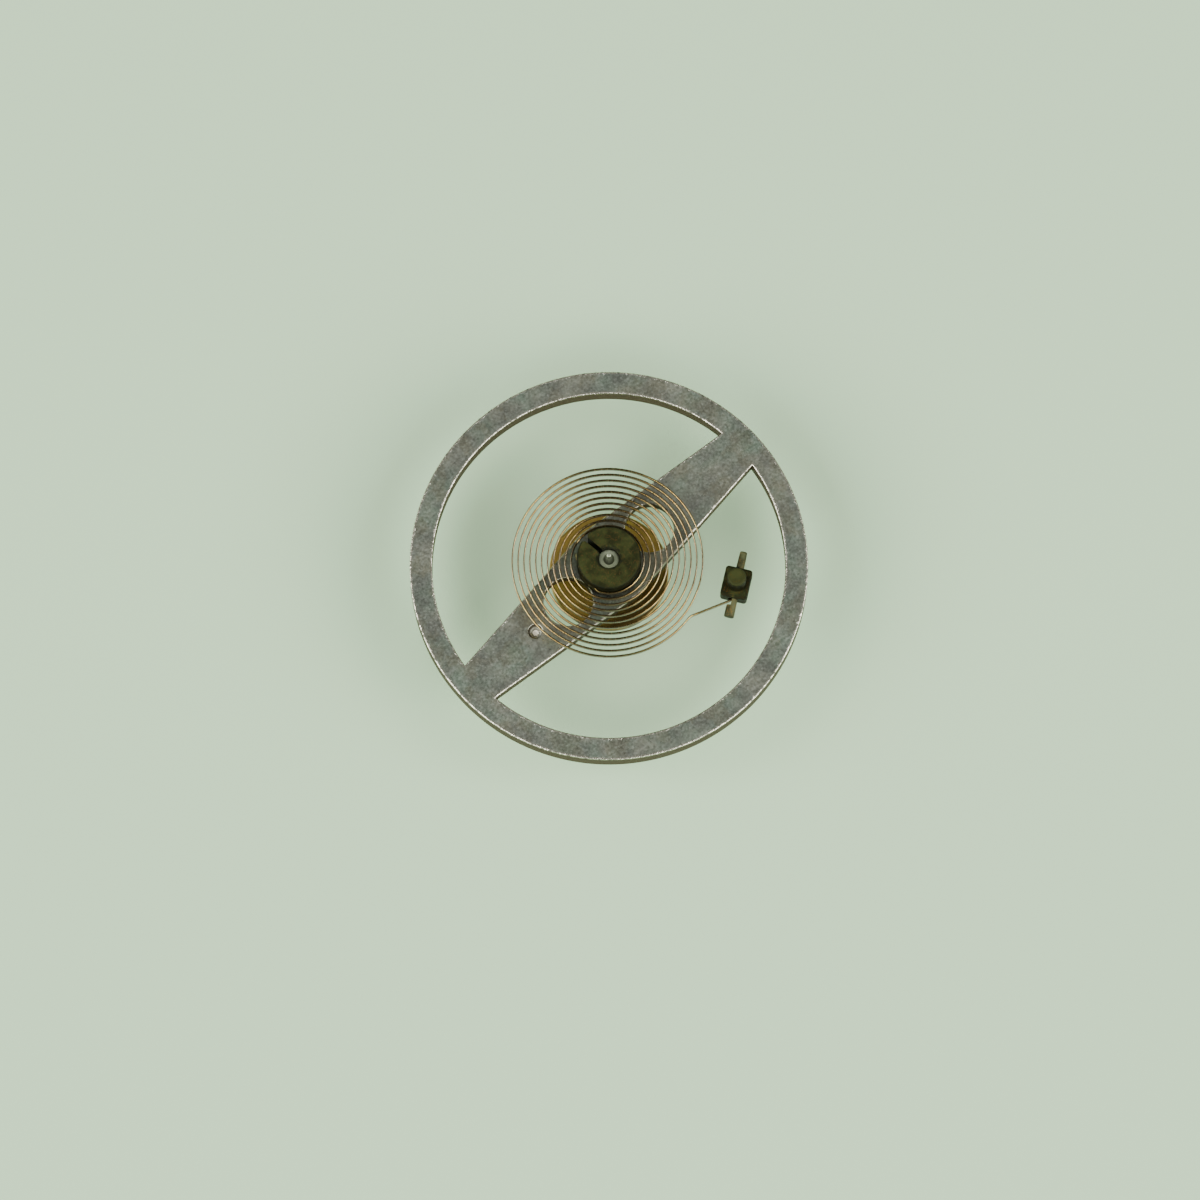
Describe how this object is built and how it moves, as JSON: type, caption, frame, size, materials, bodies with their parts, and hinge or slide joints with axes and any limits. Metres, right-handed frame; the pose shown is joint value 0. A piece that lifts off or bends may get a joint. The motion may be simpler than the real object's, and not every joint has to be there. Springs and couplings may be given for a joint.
{
  "type": "balance wheel",
  "caption": "Wristwatch balance complete: two-armed plain wheel on its staff with rollers, split collet, flat hairspring and stud.",
  "frame": {"origin": "tip of the lower pivot, on the staff's axis, below the middle of the wheel", "axes": "+Z along the staff towards the hairspring and the upper pivot; the wheel's two arms lie along X"},
  "size_m": [0.01, 0.01, 0.0033],
  "materials": {
    "nickelled_brass": "satin nickel over brass",
    "polished_steel": "polished",
    "roller_brass": "fine turned",
    "ruby": "polished",
    "shellac": "glossy",
    "tarnished_brass": "tarnished dark",
    "pin_brass": "drawn",
    "spring_alloy": "polished strip",
    "stud_metal": "tarnished dark"
  },
  "bodies": {
    "stud": {"stud": "stud_metal", "stud_pin": "pin_brass"},
    "balance": {"balance_wheel": "nickelled_brass", "balance_staff": "polished_steel", "roller_table": "roller_brass", "safety_roller": "roller_brass", "impulse_jewel": "ruby", "jewel_shellac": "shellac", "collet": "tarnished_brass", "collet_pin": "pin_brass", "hairspring": "spring_alloy"}
  },
  "joints": [
    {"name": "balance_swing", "type": "hinge", "parent": "stud", "child": "balance", "pos_m": [0, 0, 0.00242], "axis": [0, 0, 1], "range_deg": [-300, 300], "stiffness_Nm_per_rad": 0.00000128, "deforming": ["hairspring"]}
  ]
}
